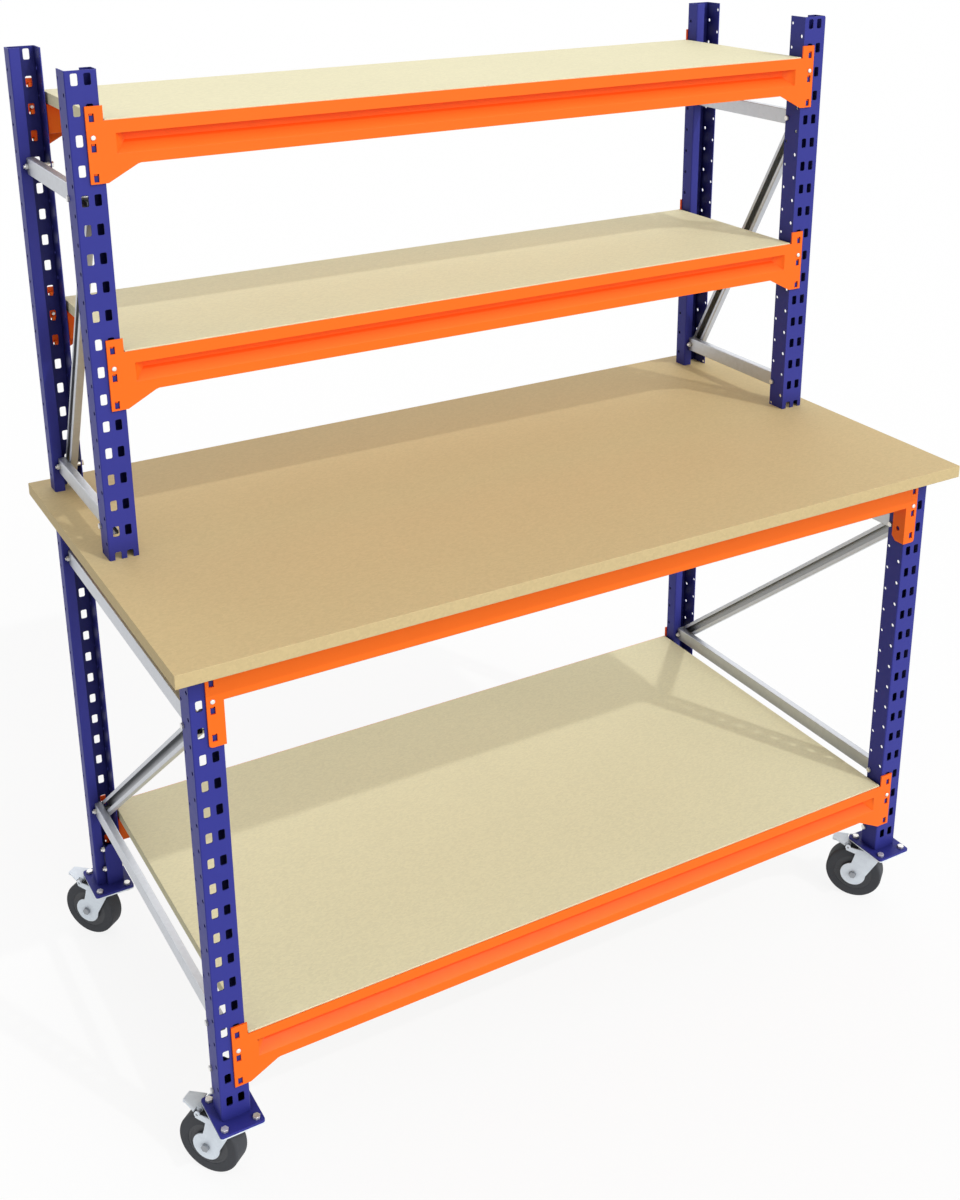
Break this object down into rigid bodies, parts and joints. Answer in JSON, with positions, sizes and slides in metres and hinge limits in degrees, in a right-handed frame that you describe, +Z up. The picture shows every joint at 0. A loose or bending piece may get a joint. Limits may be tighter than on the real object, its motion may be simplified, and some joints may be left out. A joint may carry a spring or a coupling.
{
  "type": "mobile workbench",
  "caption": "Mobile workbench with slotted blue uprights, orange plug-in beams, chipboard worktop and shelves, zinc side braces and braked swivel casters.",
  "frame": {"origin": "on the floor, below the middle of the lower frame", "axes": "+X to the right along the beams, +Y to the back, +Z up"},
  "size_m": [1.6962, 0.9266, 1.95],
  "materials": {
    "blue_paint": "satin powder coat",
    "orange_paint": "satin powder coat",
    "worktop_board": "raw chipboard",
    "shelf_board": "raw chipboard",
    "zinc_plate": "zinc plated",
    "fork_zinc": "bright zinc",
    "rim_plastic": "matt",
    "grey_rubber": "matt"
  },
  "bodies": {
    "bench_frame": {"beam_lock_pins": "zinc_plate", "brace_bolts": "zinc_plate", "caster_plate_bolts": "zinc_plate", "caster_top_plates": "fork_zinc", "foot_bolts": "zinc_plate", "kingpins": "fork_zinc", "lower_bottom_braces": "zinc_plate", "lower_diagonal_braces": "zinc_plate", "lower_shelf_beam_front": "orange_paint", "lower_shelf_beam_rear": "orange_paint", "lower_shelf_board": "shelf_board", "lower_shelf_connectors": "orange_paint", "lower_top_braces": "zinc_plate", "lower_upright_front_left": "blue_paint", "lower_upright_front_right": "blue_paint", "lower_upright_rear_left": "blue_paint", "lower_upright_rear_right": "blue_paint", "middle_shelf_beam_front": "orange_paint", "middle_shelf_beam_rear": "orange_paint", "middle_shelf_board": "shelf_board", "middle_shelf_connectors": "orange_paint", "post_foot_front_left": "blue_paint", "post_foot_front_right": "blue_paint", "post_foot_rear_left": "blue_paint", "post_foot_rear_right": "blue_paint", "top_shelf_beam_front": "orange_paint", "top_shelf_beam_rear": "orange_paint", "top_shelf_board": "shelf_board", "top_shelf_connectors": "orange_paint", "upper_bottom_braces": "zinc_plate", "upper_diagonal_braces": "zinc_plate", "upper_top_braces": "zinc_plate", "upper_upright_front_left": "blue_paint", "upper_upright_front_right": "blue_paint", "upper_upright_rear_left": "blue_paint", "upper_upright_rear_right": "blue_paint", "worktop_beam_front": "orange_paint", "worktop_beam_rear": "orange_paint", "worktop_board": "worktop_board", "worktop_connectors": "orange_paint"},
    "caster_front_left": {"caster_fork_front_left": "fork_zinc", "caster_axle_front_left": "fork_zinc"},
    "wheel_front_left": {"wheel_rim_front_left": "rim_plastic", "tyre_front_left": "grey_rubber"},
    "pedal_front_left": {"brake_pedal_front_left": "fork_zinc"},
    "caster_front_right": {"caster_fork_front_right": "fork_zinc", "caster_axle_front_right": "fork_zinc"},
    "wheel_front_right": {"wheel_rim_front_right": "rim_plastic", "tyre_front_right": "grey_rubber"},
    "pedal_front_right": {"brake_pedal_front_right": "fork_zinc"},
    "caster_rear_left": {"caster_fork_rear_left": "fork_zinc", "caster_axle_rear_left": "fork_zinc"},
    "wheel_rear_left": {"wheel_rim_rear_left": "rim_plastic", "tyre_rear_left": "grey_rubber"},
    "pedal_rear_left": {"brake_pedal_rear_left": "fork_zinc"},
    "caster_rear_right": {"caster_fork_rear_right": "fork_zinc", "caster_axle_rear_right": "fork_zinc"},
    "wheel_rear_right": {"wheel_rim_rear_right": "rim_plastic", "tyre_rear_right": "grey_rubber"},
    "pedal_rear_right": {"brake_pedal_rear_right": "fork_zinc"}
  },
  "joints": [
    {"name": "swivel_front_left", "type": "hinge", "parent": "bench_frame", "child": "caster_front_left", "pos_m": [-0.7775, -0.38, 0.13], "axis": [0, 0, 1], "continuous": true},
    {"name": "roll_front_left", "type": "hinge", "parent": "caster_front_left", "child": "wheel_front_left", "pos_m": [-0.80579, -0.34246, 0.0625], "axis": [-0.7986, -0.6018, 0], "continuous": true},
    {"name": "brake_front_left", "type": "hinge", "parent": "caster_front_left", "child": "pedal_front_left", "pos_m": [-0.81481, -0.33048, 0.1295], "axis": [-0.7986, -0.6018, 0], "range_deg": [0, 8]},
    {"name": "swivel_front_right", "type": "hinge", "parent": "bench_frame", "child": "caster_front_right", "pos_m": [0.7775, -0.38, 0.13], "axis": [0, 0, 1], "continuous": true},
    {"name": "roll_front_right", "type": "hinge", "parent": "caster_front_right", "child": "wheel_front_right", "pos_m": [0.74921, -0.34246, 0.0625], "axis": [-0.7986, -0.6018, 0], "continuous": true},
    {"name": "brake_front_right", "type": "hinge", "parent": "caster_front_right", "child": "pedal_front_right", "pos_m": [0.74019, -0.33048, 0.1295], "axis": [-0.7986, -0.6018, 0], "range_deg": [0, 8]},
    {"name": "swivel_rear_left", "type": "hinge", "parent": "bench_frame", "child": "caster_rear_left", "pos_m": [-0.7775, 0.38, 0.13], "axis": [0, 0, 1], "continuous": true},
    {"name": "roll_rear_left", "type": "hinge", "parent": "caster_rear_left", "child": "wheel_rear_left", "pos_m": [-0.80579, 0.41754, 0.0625], "axis": [-0.7986, -0.6018, 0], "continuous": true},
    {"name": "brake_rear_left", "type": "hinge", "parent": "caster_rear_left", "child": "pedal_rear_left", "pos_m": [-0.81481, 0.42952, 0.1295], "axis": [-0.7986, -0.6018, 0], "range_deg": [0, 8]},
    {"name": "swivel_rear_right", "type": "hinge", "parent": "bench_frame", "child": "caster_rear_right", "pos_m": [0.7775, 0.38, 0.13], "axis": [0, 0, 1], "continuous": true},
    {"name": "roll_rear_right", "type": "hinge", "parent": "caster_rear_right", "child": "wheel_rear_right", "pos_m": [0.74921, 0.41754, 0.0625], "axis": [-0.7986, -0.6018, 0], "continuous": true},
    {"name": "brake_rear_right", "type": "hinge", "parent": "caster_rear_right", "child": "pedal_rear_right", "pos_m": [0.74019, 0.42952, 0.1295], "axis": [-0.7986, -0.6018, 0], "range_deg": [0, 8]}
  ]
}
